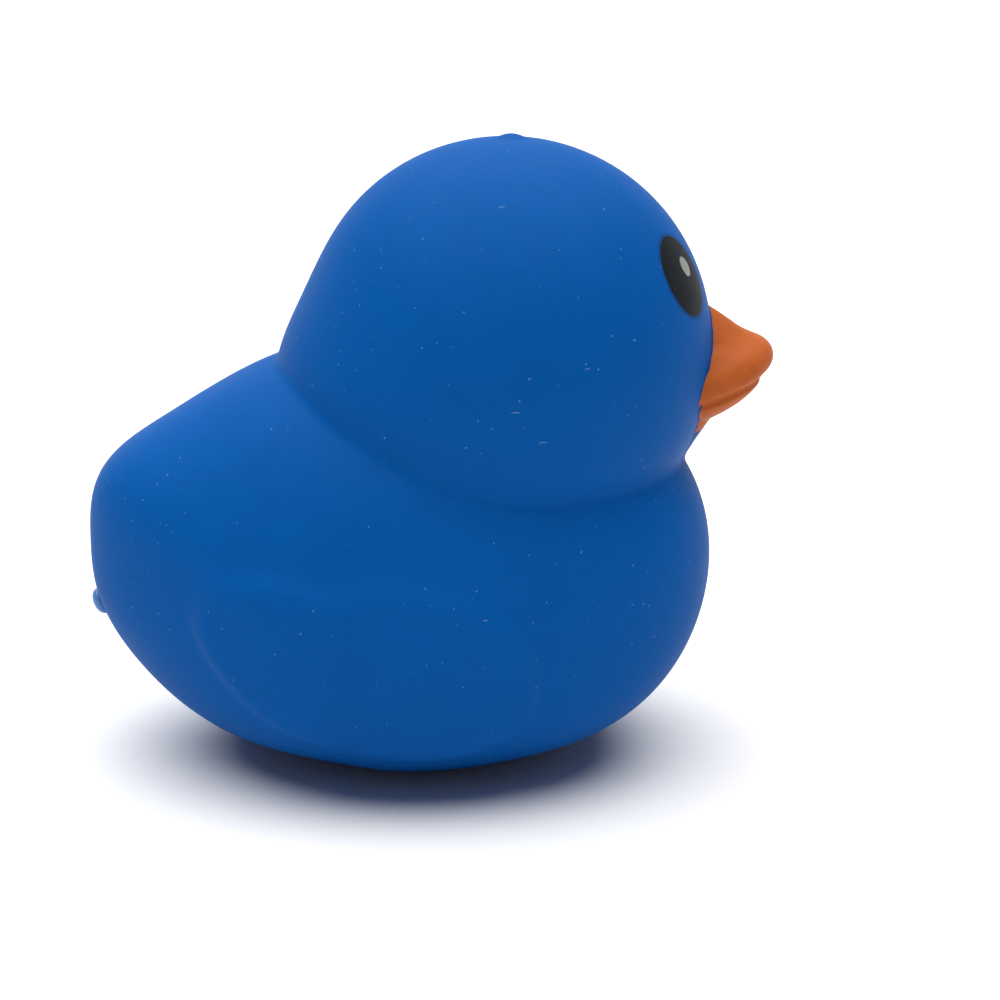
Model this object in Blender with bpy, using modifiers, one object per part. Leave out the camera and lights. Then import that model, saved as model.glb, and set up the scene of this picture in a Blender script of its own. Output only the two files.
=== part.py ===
"""Squishy duck toy: one moulded rubber skin, sealed at the rear by a small press-in plug.

Metres, +Z up. The duck faces +X and its left side is +Y. The origin is the centre of the flat
spot that it sits on.
"""

import math

import bmesh
import bpy
import numpy as np
from mathutils import Matrix, Vector

MM = 0.001

# Body: reach of its side outline from the body's centre, from the breast up, round the tail and under
BODY_BREAST = 49.0 * MM
BODY_THROAT = 50.7 * MM
BODY_SHOULDER = 45.3 * MM
BODY_WITHERS = 40.9 * MM
BODY_NAPE = 43.5 * MM
BODY_BACK = 47.8 * MM
BODY_TAIL_TOP = 51.8 * MM
BODY_TAIL_TIP = 50.6 * MM
BODY_RUMP = 48.8 * MM
BODY_VENT = 43.9 * MM
BODY_UNDER_TAIL = 37.2 * MM
BODY_BELLY_REAR = 29.2 * MM
BODY_BELLY = 26.5 * MM
BODY_BELLY_FRONT = 27.8 * MM
BODY_KEEL = 33.4 * MM
BODY_CHEST = 43.4 * MM
BODY_HALF_WIDTH = 39.6 * MM
BODY_FULLNESS = 2.3
TAIL_TAPER = 0.35
TAIL_LENGTH = 50.0 * MM
BASE_SPOT = 0.8 * MM

# Head: the same kind of outline about its own centre, placed from the body's
HEAD_FORWARD = 14.9 * MM
HEAD_ABOVE = 36.9 * MM
HEAD_FACE = 34.5 * MM
HEAD_FOREHEAD = 36.4 * MM
HEAD_CROWN = 36.5 * MM
HEAD_CROWN_REAR = 35.2 * MM
HEAD_BACK_TOP = 33.5 * MM
HEAD_BACK = 32.6 * MM
HEAD_NAPE = 37.5 * MM
HEAD_NECK_REAR = 38.4 * MM
HEAD_NECK = 34.8 * MM
HEAD_CHIN = 33.2 * MM
HEAD_HALF_WIDTH = 35.8 * MM

# Wings, embossed on the flanks: outline about a centre, placed from the body's centre
WING_BACKWARD = 5.5 * MM
WING_BELOW = 2.0 * MM
WING_FRONT = 24.7 * MM
WING_FRONT_TOP = 20.6 * MM
WING_TOP_FRONT = 16.6 * MM
WING_TOP = 13.5 * MM
WING_TOP_REAR = 16.6 * MM
WING_TIP_TOP = 25.3 * MM
WING_TIP = 27.4 * MM
WING_TIP_LOW = 23.6 * MM
WING_LOW_REAR = 18.3 * MM
WING_LOW = 14.4 * MM
WING_LOW_FRONT = 17.8 * MM
WING_FRONT_LOW = 22.6 * MM
WING_RISE = 1.1 * MM
WING_EDGE = 2.6 * MM
WING_SPINE_GAP = 9.9 * MM

# Bill, placed from the head's centre
BILL_ROOT = 27.9 * MM
BILL_DROP = 1.8 * MM
UPPER_REACH = 14.7 * MM
UPPER_HALF_WIDTH = 13.0 * MM
UPPER_HEIGHT = 13.8 * MM
UPPER_RISE = 0.30
UPPER_LEAN = 0.61
UPPER_PINCH = 0.60
LIP_INSET = 0.6 * MM
LIP_TIP_RADIUS = 2.4 * MM
LIP_SIDE_RADIUS = 2.5 * MM
LIP_RISE = 0.22
LOWER_DROP = 1.3 * MM
LOWER_OUTSET = 1.2 * MM
LOWER_DEPTH = 7.6 * MM
LOWER_RISE = 0.26
MOUTH_LINE_RADIUS = 0.42 * MM
MOUTH_LINE_DROP = 1.1 * MM
MOUTH_LINE_SWEEP = 75.0
LIP_SWEEP = 120.0

# Printed eyes, and the stub of the moulding gate on the crown
EYE_RADIUS = 6.3 * MM
EYE_TURN = 30.5
EYE_LIFT = 28.0
PAINT = 0.2 * MM
GLINT_RADIUS = 1.6 * MM
GLINT_TURN = 25.5
GLINT_LIFT = 30.0
GLINT_PAINT = 0.35 * MM
PAINT_ROOT = 2.0 * MM
NUB_RADIUS = 2.0 * MM
NUB_RISE = 0.6 * MM
NUB_ANGLE = 86.0

# Plug that closes the filling hole under the tail tip
PLUG_ANGLE = 181.6
BEAD_RADIUS = 2.2 * MM
BEAD_RISE = 1.5 * MM
STEM_RADIUS = 1.3 * MM
STEM_LENGTH = 4.0 * MM
CLEARANCE = 0.3 * MM

# Fineness of the moulded skin, and the fillet where the head grows out of the body
SKIN_CELL = 0.9 * MM
SKIN_FACES = 6800
BODY_SEGMENTS = 240
HEAD_SEGMENTS = 120
BILL_SEGMENTS = 40
ROUND_SEGMENTS = 32
NECK_FILLET = 1.3 * MM

BLUE = ((0.012, 0.095, 0.38), 0.5)
ORANGE = ((0.52, 0.13, 0.035), 0.5)
BLACK = ((0.012, 0.013, 0.016), 0.45)
GREY = ((0.30, 0.33, 0.31), 0.5)
PLUG_BLUE = ((0.02, 0.14, 0.42), 0.3)


class Outline:
    """A smooth closed curve about a centre: a periodic cubic through reaches at given degrees."""

    def __init__(self, stations):
        self.angle = np.radians([angle for angle, reach in stations])
        self.value = np.array([reach for angle, reach in stations])
        self.step = np.diff(np.append(self.angle, self.angle[0] + 2 * math.pi))
        count = len(stations)
        rise = (np.roll(self.value, -1) - self.value) / self.step
        terms = np.zeros((count, count))
        for i in range(count):
            before = (i - 1) % count
            after = (i + 1) % count
            terms[i, before] += 1 / self.step[before]
            terms[i, i] += 2 / self.step[before] + 2 / self.step[i]
            terms[i, after] += 1 / self.step[i]
        known = 3 * (np.roll(rise / self.step, 1) + rise / self.step)
        self.slope = np.linalg.solve(terms, known)

    def reach(self, angle):
        angle = (angle - self.angle[0]) % (2 * math.pi) + self.angle[0]
        i = np.searchsorted(self.angle, angle, side="right") - 1
        after = (i + 1) % len(self.angle)
        step = self.step[i]
        t = (angle - self.angle[i]) / step
        return (
            (1 + 2 * t) * (1 - t) ** 2 * self.value[i]
            + t * (1 - t) ** 2 * step * self.slope[i]
            + t * t * (3 - 2 * t) * self.value[after]
            - t * t * (1 - t) * step * self.slope[after]
        )


class Form:
    """A cushion-like solid: a side outline, swelling across to a half width that may taper aft."""

    def __init__(self, centre, outline, half_width, fullness=2.0, taper=0.0, taper_length=1.0):
        self.centre = np.array(centre)
        self.outline = outline
        self.half_width = half_width
        self.fullness = fullness
        self.taper = taper
        self.taper_length = taper_length

    def width(self, x):
        aft = np.clip((self.centre[0] - x) / self.taper_length, 0.0, 1.2)
        return self.half_width * (1 - self.taper * aft**2)

    def fill(self, points):
        """Zero on the skin, negative inside."""
        x, y, z = points[..., 0], points[..., 1], points[..., 2]
        dx = x - self.centre[0]
        dz = z - self.centre[1]
        reach = self.outline.reach(np.arctan2(dz, dx))
        across = np.abs(y / self.width(x)) ** self.fullness
        return across + (np.hypot(dx, dz) / reach) ** self.fullness - 1

    def outward(self, points):
        near = 1e-5
        slope = [self.fill(points + near * axis) - self.fill(points - near * axis) for axis in np.eye(3)]
        slope = np.stack(slope, -1)
        return slope / np.linalg.norm(slope, axis=-1, keepdims=True)

    def skin(self, ball):
        """Points of a unit ball, whose poles lie across the duck, moved to the skin."""
        power = 2 / self.fullness
        angle = np.arctan2(ball[:, 2], ball[:, 0])
        level = np.clip(np.hypot(ball[:, 0], ball[:, 2]), 0.0, 1.0) ** power
        reach = level * self.outline.reach(angle)
        x = self.centre[0] + reach * np.cos(angle)
        z = self.centre[1] + reach * np.sin(angle)
        y = np.sign(ball[:, 1]) * np.abs(ball[:, 1]) ** power * self.width(x)
        return np.stack([x, y, z], -1)

    def profile_point(self, degrees):
        """The point of the side outline at an angle, and the direction out of it."""
        angle = math.radians(degrees)
        reach = float(self.outline.reach(angle))
        x = self.centre[0] + reach * math.cos(angle)
        z = self.centre[1] + reach * math.sin(angle)
        point = np.array([x, 0.0, z])
        return Vector(point), Vector(self.outward(point[None])[0])

    def seen_from_centre(self, turn, lift):
        """The skin point on a ray from the centre, turned from the front and lifted, and its normal."""
        turn, lift = math.radians(turn), math.radians(lift)
        ray = np.array([math.cos(lift) * math.cos(turn), math.cos(lift) * math.sin(turn), math.sin(lift)])
        middle = np.array([self.centre[0], 0.0, self.centre[1]])
        size = self.half_width
        for _ in range(30):
            value = self.fill((middle + size * ray)[None])[0]
            size *= (value + 1) ** (-1 / self.fullness)
        point = middle + size * ray
        return Vector(point), Vector(self.outward(point[None])[0])


def body_outline():
    return Outline(
        (
            (0, BODY_BREAST),
            (25, BODY_THROAT),
            (50, BODY_SHOULDER),
            (90, BODY_WITHERS),
            (125, BODY_NAPE),
            (145, BODY_BACK),
            (158, BODY_TAIL_TOP),
            (168, BODY_TAIL_TIP),
            (178, BODY_RUMP),
            (192, BODY_VENT),
            (210, BODY_UNDER_TAIL),
            (235, BODY_BELLY_REAR),
            (262, BODY_BELLY),
            (290, BODY_BELLY_FRONT),
            (315, BODY_KEEL),
            (340, BODY_CHEST),
        )
    )


def head_outline():
    return Outline(
        (
            (0, HEAD_FACE),
            (40, HEAD_FOREHEAD),
            (80, HEAD_CROWN),
            (110, HEAD_CROWN_REAR),
            (135, HEAD_BACK_TOP),
            (160, HEAD_BACK),
            (190, HEAD_NAPE),
            (225, HEAD_NECK_REAR),
            (270, HEAD_NECK),
            (315, HEAD_CHIN),
        )
    )


def wing_outline():
    return Outline(
        (
            (0, WING_FRONT),
            (27, WING_FRONT_TOP),
            (50, WING_TOP_FRONT),
            (90, WING_TOP),
            (128, WING_TOP_REAR),
            (150, WING_TIP_TOP),
            (164, WING_TIP),
            (182, WING_TIP_LOW),
            (208, WING_LOW_REAR),
            (258, WING_LOW),
            (300, WING_LOW_FRONT),
            (325, WING_FRONT_LOW),
        )
    )


def body_centre():
    """Placed so that the lowest point of the outline is over the origin, BASE_SPOT below it."""
    outline = body_outline()
    angle = np.radians(np.linspace(180, 360, 1801))
    reach = outline.reach(angle)
    lowest = int(np.argmin(reach * np.sin(angle)))
    return (
        -float(reach[lowest] * np.cos(angle[lowest])),
        -float(reach[lowest] * np.sin(angle[lowest])) - BASE_SPOT,
    )


def body_form():
    return Form(body_centre(), body_outline(), BODY_HALF_WIDTH, BODY_FULLNESS, TAIL_TAPER, TAIL_LENGTH)


def head_centre():
    x, z = body_centre()
    return x + HEAD_FORWARD, z + HEAD_ABOVE


def head_form():
    return Form(head_centre(), head_outline(), HEAD_HALF_WIDTH)


def material(name, look):
    colour, roughness = look
    made = bpy.data.materials.new(name)
    made.diffuse_color = (*colour, 1.0)
    made.use_nodes = True
    shader = made.node_tree.nodes["Principled BSDF"]
    shader.inputs["Base Color"].default_value = (*colour, 1.0)
    shader.inputs["Roughness"].default_value = roughness
    shader.inputs["Metallic"].default_value = 0.0
    return made


def new_object(name, mesh, collection, *materials):
    made = bpy.data.objects.new(name, mesh)
    for one in materials:
        mesh.materials.append(one)
    mesh.shade_smooth()
    collection.objects.link(made)
    return made


def ball_mesh(name, segments, rings):
    """A unit UV sphere with its poles across the duck, along Y."""
    shape = bmesh.new()
    bmesh.ops.create_uvsphere(shape, u_segments=segments, v_segments=rings, radius=1.0)
    bmesh.ops.rotate(shape, verts=shape.verts, matrix=Matrix.Rotation(math.pi / 2, 3, "X"))
    mesh = bpy.data.meshes.new(name)
    shape.to_mesh(mesh)
    shape.free()
    return mesh


def points_of(mesh):
    points = np.empty(len(mesh.vertices) * 3)
    mesh.vertices.foreach_get("co", points)
    return points.reshape(-1, 3)


def move_points(mesh, points):
    mesh.vertices.foreach_set("co", np.ascontiguousarray(points, np.float32).ravel())
    mesh.update()


def helper(name, mesh, collection, *materials):
    made = new_object(name, mesh, collection, *materials)
    made.hide_render = True
    made.display_type = "WIRE"
    return made


def emboss_wings(form, points):
    """Lifts the skin inside the wing outline by WING_RISE, with a soft edge WING_EDGE wide.

    The rise fades out within WING_SPINE_GAP of the middle plane, so only the flanks carry a wing.
    """
    outline = wing_outline()
    dx = points[:, 0] - form.centre[0] + WING_BACKWARD
    dz = points[:, 2] - form.centre[1] + WING_BELOW
    inside = outline.reach(np.arctan2(dz, dx)) - np.hypot(dx, dz)
    share = np.clip(inside / WING_EDGE + 0.5, 0.0, 1.0)
    flank = np.clip(np.abs(points[:, 1]) / WING_SPINE_GAP, 0.0, 1.0)
    rise = WING_RISE * share**2 * (3 - 2 * share) * flank
    return points + form.outward(points) * rise[:, None]


def union(target, other, name, materials_kept=False):
    joined = target.modifiers.new(name, "BOOLEAN")
    joined.operation = "UNION"
    joined.solver = "EXACT"
    joined.object = other
    if materials_kept:
        joined.material_mode = "TRANSFER"


def cut(target, other, name):
    joined = target.modifiers.new(name, "BOOLEAN")
    joined.operation = "DIFFERENCE"
    joined.solver = "EXACT"
    joined.object = other


def sheared_ball(name, centre, reach, half_width, height, rise, lean, pinch, helpers, look):
    """An ellipsoid whose middle plane rises forwards, thinner that way and narrower upwards."""
    mesh = ball_mesh(name, BILL_SEGMENTS, BILL_SEGMENTS // 2)
    points = points_of(mesh)
    points[:, 1] *= 1 - pinch * np.maximum(points[:, 2], 0.0)
    points[:, 2] *= 1 - lean * np.maximum(points[:, 0], 0.0)
    points *= (reach, half_width, height)
    points[:, 2] += rise * points[:, 0]
    move_points(mesh, points + centre)
    return helper(name, mesh, helpers, look)


def swept_arc(name, centre, reach, half_width, rise, sweep, tip_radius, side_radius, helpers, look):
    """A round bead along the bill's plan outline, to the same angle on either side of its tip."""
    curve = bpy.data.curves.new(name, "CURVE")
    curve.dimensions = "3D"
    curve.bevel_depth = 1.0
    curve.bevel_resolution = 2
    curve.use_fill_caps = True
    line = curve.splines.new("POLY")
    turns = np.radians(np.linspace(-sweep, sweep, 37))
    line.points.add(len(turns) - 1)
    for point, turn in zip(line.points, turns):
        forward = reach * math.cos(turn)
        point.co = (
            centre[0] + forward,
            centre[1] + half_width * math.sin(turn),
            centre[2] + rise * forward,
            1.0,
        )
        share = max(math.cos(turn), 0.0) ** 2
        point.radius = side_radius + (tip_radius - side_radius) * share
    guide = bpy.data.objects.new(name, curve)
    helpers.objects.link(guide)
    graph = bpy.context.evaluated_depsgraph_get()
    mesh = bpy.data.meshes.new_from_object(guide.evaluated_get(graph))
    bpy.data.objects.remove(guide)
    shape = bmesh.new()
    shape.from_mesh(mesh)
    bmesh.ops.remove_doubles(shape, verts=shape.verts, dist=1e-6)
    bmesh.ops.recalc_face_normals(shape, faces=shape.faces)
    shape.to_mesh(mesh)
    shape.free()
    mesh.materials.clear()
    return helper(name, mesh, helpers, look)


def make_bill(skin, helpers, look):
    """Upper bill with a rolled lip, lower bill under it, and the engraved mouth line between."""
    head_x, head_z = head_centre()
    root = np.array([head_x + BILL_ROOT, 0.0, head_z - BILL_DROP])
    upper = sheared_ball(
        "bill_upper",
        root,
        UPPER_REACH,
        UPPER_HALF_WIDTH,
        UPPER_HEIGHT,
        UPPER_RISE,
        UPPER_LEAN,
        UPPER_PINCH,
        helpers,
        look,
    )
    lip = swept_arc(
        "bill_lip",
        root,
        UPPER_REACH - LIP_INSET,
        UPPER_HALF_WIDTH - LIP_INSET,
        LIP_RISE,
        LIP_SWEEP,
        LIP_TIP_RADIUS,
        LIP_SIDE_RADIUS,
        helpers,
        look,
    )
    under = root - (0.0, 0.0, LOWER_DROP)
    reach = UPPER_REACH + LOWER_OUTSET
    half_width = UPPER_HALF_WIDTH + LOWER_OUTSET
    lower = sheared_ball(
        "bill_lower", under, reach, half_width, LOWER_DEPTH, LOWER_RISE, 0.0, 0.0, helpers, look
    )
    for piece in (lower, upper, lip):
        union(skin, piece, piece.name, materials_kept=True)
    line = swept_arc(
        "mouth_line",
        under - (0.0, 0.0, MOUTH_LINE_DROP),
        reach,
        half_width,
        LOWER_RISE,
        MOUTH_LINE_SWEEP,
        MOUTH_LINE_RADIUS,
        MOUTH_LINE_RADIUS,
        helpers,
        look,
    )
    cut(skin, line, line.name)


def paint_patch(name, form, turn, lift, radius, paint, helpers, look):
    """A round patch of print that follows the form, proud of it by the paint and rooted under it."""
    centre, normal = form.seen_from_centre(turn, lift)
    mesh = bpy.data.meshes.new(name)
    shape = bmesh.new()
    bmesh.ops.create_uvsphere(shape, u_segments=ROUND_SEGMENTS, v_segments=ROUND_SEGMENTS // 3, radius=1.0)
    shape.to_mesh(mesh)
    shape.free()
    ball = points_of(mesh)
    turned = np.array(normal.to_track_quat("Z", "Y").to_matrix())
    points = ball.copy()
    points[:, :2] *= radius
    points[:, 2] = 0.0
    points = points @ turned.T + np.array(centre)
    for _ in range(12):
        slope = form.outward(points)
        value = form.fill(points)
        near = 1e-5
        steep = (form.fill(points + near * slope) - value) / near
        points -= slope * (value / steep)[:, None]
    depth = np.where(ball[:, 2] > -0.05, paint, PAINT_ROOT * ball[:, 2])
    move_points(mesh, points + form.outward(points) * depth[:, None])
    return helper(name, mesh, helpers, look)


def make_eyes(skin, form, helpers, black, grey):
    for side, sign in (("right", -1), ("left", 1)):
        eye = paint_patch("eye_" + side, form, sign * EYE_TURN, EYE_LIFT, EYE_RADIUS, PAINT, helpers, black)
        union(skin, eye, eye.name, materials_kept=True)
        glint = paint_patch(
            "glint_" + side, form, sign * GLINT_TURN, GLINT_LIFT, GLINT_RADIUS, GLINT_PAINT, helpers, grey
        )
        union(skin, glint, glint.name, materials_kept=True)


def make_nub(skin, form, helpers, look):
    point, normal = form.profile_point(NUB_ANGLE)
    mesh = ball_mesh("gate_nub", ROUND_SEGMENTS, ROUND_SEGMENTS // 2)
    turned = normal.to_track_quat("Z", "Y").to_matrix().to_4x4()
    size = Matrix.Diagonal((NUB_RADIUS, NUB_RADIUS, NUB_RISE, 1.0))
    mesh.transform(Matrix.Translation(point) @ turned @ size)
    union(skin, helper("gate_nub", mesh, helpers, look), "gate_nub")


def plug_frame(form):
    """Placement of the plug: on the skin under the tail tip, its +Z out of the skin."""
    point, normal = form.profile_point(PLUG_ANGLE)
    return Matrix.Translation(point) @ normal.to_track_quat("Z", "Y").to_matrix().to_4x4()


def cut_fill_hole(skin, form, helpers):
    shape = bmesh.new()
    length = 2 * (STEM_LENGTH + CLEARANCE)
    bmesh.ops.create_cone(
        shape,
        cap_ends=True,
        segments=ROUND_SEGMENTS,
        radius1=STEM_RADIUS + CLEARANCE,
        radius2=STEM_RADIUS + CLEARANCE,
        depth=length,
    )
    mesh = bpy.data.meshes.new("fill_hole")
    shape.to_mesh(mesh)
    shape.free()
    hole = helper("fill_hole", mesh, helpers)
    hole.matrix_world = plug_frame(form)
    cut(skin, hole, "fill_hole")


def cut_base(skin, helpers):
    """The flat spot: everything under the origin's level is taken off."""
    shape = bmesh.new()
    bmesh.ops.create_cube(shape, size=2 * BODY_HALF_WIDTH)
    mesh = bpy.data.meshes.new("base_plane")
    shape.to_mesh(mesh)
    shape.free()
    block = helper("base_plane", mesh, helpers)
    block.location.z = -BODY_HALF_WIDTH
    cut(skin, block, "base_plane")


def make_skin(parts, helpers):
    """Body with wings and head, moulded as one, with a small fillet at the neck."""
    blue = material("blue_rubber", BLUE)
    orange = material("orange_paint", ORANGE)
    black = material("black_paint", BLACK)
    grey = material("grey_paint", GREY)
    body, head = body_form(), head_form()
    mesh = ball_mesh("duck_skin", BODY_SEGMENTS, BODY_SEGMENTS // 2)
    move_points(mesh, emboss_wings(body, body.skin(points_of(mesh))))
    skin = new_object("duck_skin", mesh, parts, blue, orange, black, grey)
    head_mesh = ball_mesh("head", HEAD_SEGMENTS, HEAD_SEGMENTS // 2)
    move_points(head_mesh, head.skin(points_of(head_mesh)))
    union(skin, helper("head", head_mesh, helpers, blue), "head")
    grid = skin.modifiers.new("one_skin", "REMESH")
    grid.mode = "VOXEL"
    grid.voxel_size = SKIN_CELL
    grid.use_smooth_shade = True
    soften = skin.modifiers.new("neck_fillet", "SMOOTH")
    soften.factor = 0.5
    soften.iterations = max(1, round(3 * (NECK_FILLET / SKIN_CELL) ** 2))
    fewer = skin.modifiers.new("fewer_faces", "DECIMATE")
    graph = bpy.context.evaluated_depsgraph_get()
    fewer.ratio = min(1.0, SKIN_FACES / (2 * len(skin.evaluated_get(graph).data.polygons)))
    make_bill(skin, helpers, orange)
    make_eyes(skin, head, helpers, black, grey)
    make_nub(skin, head, helpers, blue)
    cut_fill_hole(skin, body, helpers)
    cut_base(skin, helpers)
    even = skin.modifiers.new("even_shading", "WEIGHTED_NORMAL")
    even.weight = 80
    return skin


def make_plug(parts, form):
    """Turned plug: a domed bead on a stem, drawn down its outer side from the top of the dome."""
    steps = 7
    rise = [math.radians(90 - 90 * i / steps) for i in range(steps + 1)]
    profile = [(BEAD_RADIUS * math.cos(a), BEAD_RISE * math.sin(a)) for a in rise]
    profile[0] = (0.0, BEAD_RISE)
    profile.append((STEM_RADIUS, 0.0))
    profile.append((STEM_RADIUS, -STEM_LENGTH))
    profile.append((0.0, -STEM_LENGTH))
    shape = bmesh.new()
    verts = [shape.verts.new((r, 0.0, z + CLEARANCE)) for r, z in profile]
    for first, second in zip(verts, verts[1:]):
        shape.edges.new((first, second))
    mesh = bpy.data.meshes.new("fill_plug")
    shape.to_mesh(mesh)
    shape.free()
    plug = new_object("fill_plug", mesh, parts, material("plug_rubber", PLUG_BLUE))
    plug.matrix_world = plug_frame(form)
    turned = plug.modifiers.new("turned", "SCREW")
    turned.steps = ROUND_SEGMENTS
    turned.render_steps = ROUND_SEGMENTS
    turned.use_merge_vertices = True
    turned.merge_threshold = 0.00005
    turned.use_smooth_shade = True
    return plug


def main():
    for old in list(bpy.data.objects):
        bpy.data.objects.remove(old)
    parts = bpy.data.collections.new("squishy_duck")
    helpers = bpy.data.collections.new("helpers")
    helpers.hide_render = True
    bpy.context.scene.collection.children.link(parts)
    bpy.context.scene.collection.children.link(helpers)
    make_skin(parts, helpers)
    make_plug(parts, body_form())


main()
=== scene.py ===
"""Squishy duck toy: the moulded rubber skin with its painted bill and eyes, and the filling plug."""

import math

import bmesh
import bpy
import numpy as np
from mathutils import Matrix, Quaternion, Vector


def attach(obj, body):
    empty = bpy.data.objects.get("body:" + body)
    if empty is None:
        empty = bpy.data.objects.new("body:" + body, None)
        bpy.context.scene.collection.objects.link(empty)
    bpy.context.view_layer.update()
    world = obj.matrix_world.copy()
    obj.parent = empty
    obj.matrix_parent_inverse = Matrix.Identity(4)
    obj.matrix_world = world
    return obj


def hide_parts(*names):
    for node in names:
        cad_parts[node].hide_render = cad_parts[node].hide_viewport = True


bl_info = {
    "name": "Squishy duck",
    "version": (1, 0, 0),
    "blender": (4, 5, 0),
    "location": "3D View > Sidebar > Duck",
    "description": "Soft rubber squeeze duck with a painted bill and eyes",
    "category": "Add Mesh",
}

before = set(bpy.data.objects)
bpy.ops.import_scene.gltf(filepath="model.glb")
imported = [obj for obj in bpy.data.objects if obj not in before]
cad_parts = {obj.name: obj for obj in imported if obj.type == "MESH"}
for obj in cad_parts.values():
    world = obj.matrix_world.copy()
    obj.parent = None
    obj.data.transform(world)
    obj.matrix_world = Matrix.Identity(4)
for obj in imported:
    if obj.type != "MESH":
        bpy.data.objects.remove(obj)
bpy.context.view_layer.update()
MM = 0.001

BODY_ANGLES = (0, 25, 50, 90, 125, 145, 158, 168, 178, 192, 210, 235, 262, 290, 315, 340)
HEAD_ANGLES = (0, 40, 80, 110, 135, 160, 190, 225, 270, 315)
WING_ANGLES = (0, 27, 50, 90, 128, 150, 164, 182, 208, 258, 300, 325)

# Fillets between the forms, in metres
UPPER_TO_LIP = 0.0040
UPPER_TO_LOWER = 0.0003
MOUTH_EDGE = 0.0006
HEAD_TO_STUB = 0.0006
HEAD_TO_BILL = 0.0005
HEAD_TO_BILL_UNDER = 0.0010

# How far the lip and the mouth line run round the bill from straight ahead, in degrees
LIP_SWEEP = 120
MOUTH_SWEEP = 84

# The throat's stretch, ahead of the body's centre, and the share of the crease tuck that it loses
THROAT_FROM = 0.010
THROAT_TO = 0.042
THROAT_TUCK_LOSS = 0.7

# Fineness of the skin: its grid, and how near to a detail it is split again
SKIN_CELL = 0.9 * MM
NEAR_BILL = 0.0012
NEAR_BILL_FINEST = 0.0006
NEAR_CREASE = 0.0035
NEAR_STUB = 0.0035

# How far the paint runs out at the bill's corner, in millimetres, and over what width
CORNER_PAINT = 0.45
CORNER_WIDTH = 2.0 * MM

# Scales of the skin's noises, per metre
CLOUD_SCALE = 24.0
MOTTLE_SCALE = 160.0
GRAIN_SCALE = 900.0
# Dark blue for the faint overspray round each eye and for the painted shade line in the crease along the
# bill's paint edge
OVERSPRAY_AND_PAINTED_SHADE = (0.002, 0.018, 0.06)

# Profile of the plug's rim under its bead
RIM_EDGE = 0.05 * MM
RIM_UNDER = 0.22 * MM
RIM_NARROWING = 0.94
RIM_SEAT = 0.24 * MM
BEAD_STEPS = 14
PLUG_SIDES = 64

# The camera: a square picture whose optical centre lies off its middle
PICTURE = 1000.0
SENSOR = 36.0
PIXELS_PER_METRE = 6200.0
CAMERA_DISTANCE = 0.4
CAMERA_LIFT = 15.0
CAMERA_TURN = -2.0
AIM_COLUMN = 415.0
AIM_ROW = 499.3
AIM_FORWARD = 2.42 * MM
AIM_ABOVE = 14.94 * MM

# Strengths of the studio's light, and the direction of its lamp
AMBIENT = 0.12
SOFTBOX_ANGLE = 88.0
SOFTBOX_ENERGY = 1.55 * math.pi
SOFTBOX_DIRECTION = (-0.06, 0.10, 0.99)


def length(name, description, default):
    """A length given in millimetres."""
    return bpy.props.FloatProperty(
        name=name, description=description, default=default * MM, unit="LENGTH", precision=5
    )


def number(name, description, default):
    return bpy.props.FloatProperty(name=name, description=description, default=default)


def lengths(name, description, values):
    """A row of lengths given in millimetres."""
    return bpy.props.FloatVectorProperty(
        name=name,
        description=description,
        default=[value * MM for value in values],
        size=len(values),
        unit="LENGTH",
        precision=5,
    )


def colour(name, description, default):
    return bpy.props.FloatVectorProperty(
        name=name, description=description, default=default, size=3, subtype="COLOR", min=0.0, max=1.0
    )


class DuckBodySizes(bpy.types.PropertyGroup):
    """Body, wings and head: reaches of their side outlines, and their widths."""

    body_reach: lengths(
        "Body outline",
        "Reach of the body's side outline from its centre, from the breast up and round",
        (49.0, 50.7, 45.3, 41.7, 43.6, 47.8, 51.8, 50.6, 48.8, 43.9, 37.2, 29.2, 26.5, 27.8, 33.4, 43.4),
    )
    body_half_width: length("Body half width", "Half the body's width across the wings' middle", 39.6)
    body_fullness: number("Body fullness", "Two is an ellipse", 2.3)
    tail_taper: number("Tail taper", "Share of the width lost aft", 0.35)
    tail_length: length("Tail length", "Distance over which the body narrows", 50.0)
    base_spot: length("Base spot", "Depth that the flat spot takes off the belly", 0.8)
    head_reach: lengths(
        "Head outline",
        "Reach of the head's side outline from its centre, from the face up and round",
        (34.4, 36.5, 36.5, 35.2, 33.5, 32.8, 38.4, 42.4, 38.4, 33.6),
    )
    head_half_width: length("Head half width", "Half the head's width", 36.8)
    head_forward: length("Head forward", "Head's centre ahead of the body's", 14.9)
    head_above: length("Head above", "Head's centre above the body's", 36.9)
    neck_fillet_back: length("Neck fillet, back", "Softness of the crease behind the head", 0.9)
    neck_fillet_throat: length("Neck fillet, throat", "Softness of the crease at the throat", 1.1)
    crease_tuck: length("Crease tuck", "How far the head draws in towards the crease", 1.4)
    crease_tuck_reach: length("Crease tuck reach", "Distance over which it draws in", 6.0)
    wing_reach: lengths(
        "Wing outline",
        "Reach of the wing's outline from its centre, from its front up and round",
        (24.7, 20.6, 16.6, 13.5, 16.6, 25.3, 27.4, 23.6, 18.3, 14.4, 17.8, 22.6),
    )
    wing_backward: length("Wing backward", "Wing's centre behind the body's", 5.5)
    wing_below: length("Wing below", "Wing's centre under the body's", 2.0)
    wing_rise: length("Wing rise", "How far the wing stands out of the flank", 0.95)
    wing_edge_top: length("Wing upper edge", "Width of the wing's sloping upper edge", 4.6)
    wing_edge_low: length("Wing lower edge", "Width of the wing's lower edge", 2.6)
    nub_angle: number("Gate stub angle", "On the head's outline", 86.0)
    nub_radius: length("Gate stub radius", "Radius of the moulding gate's stub", 2.0)
    nub_rise: length("Gate stub rise", "Height of the moulding gate's stub", 0.6)


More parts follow.
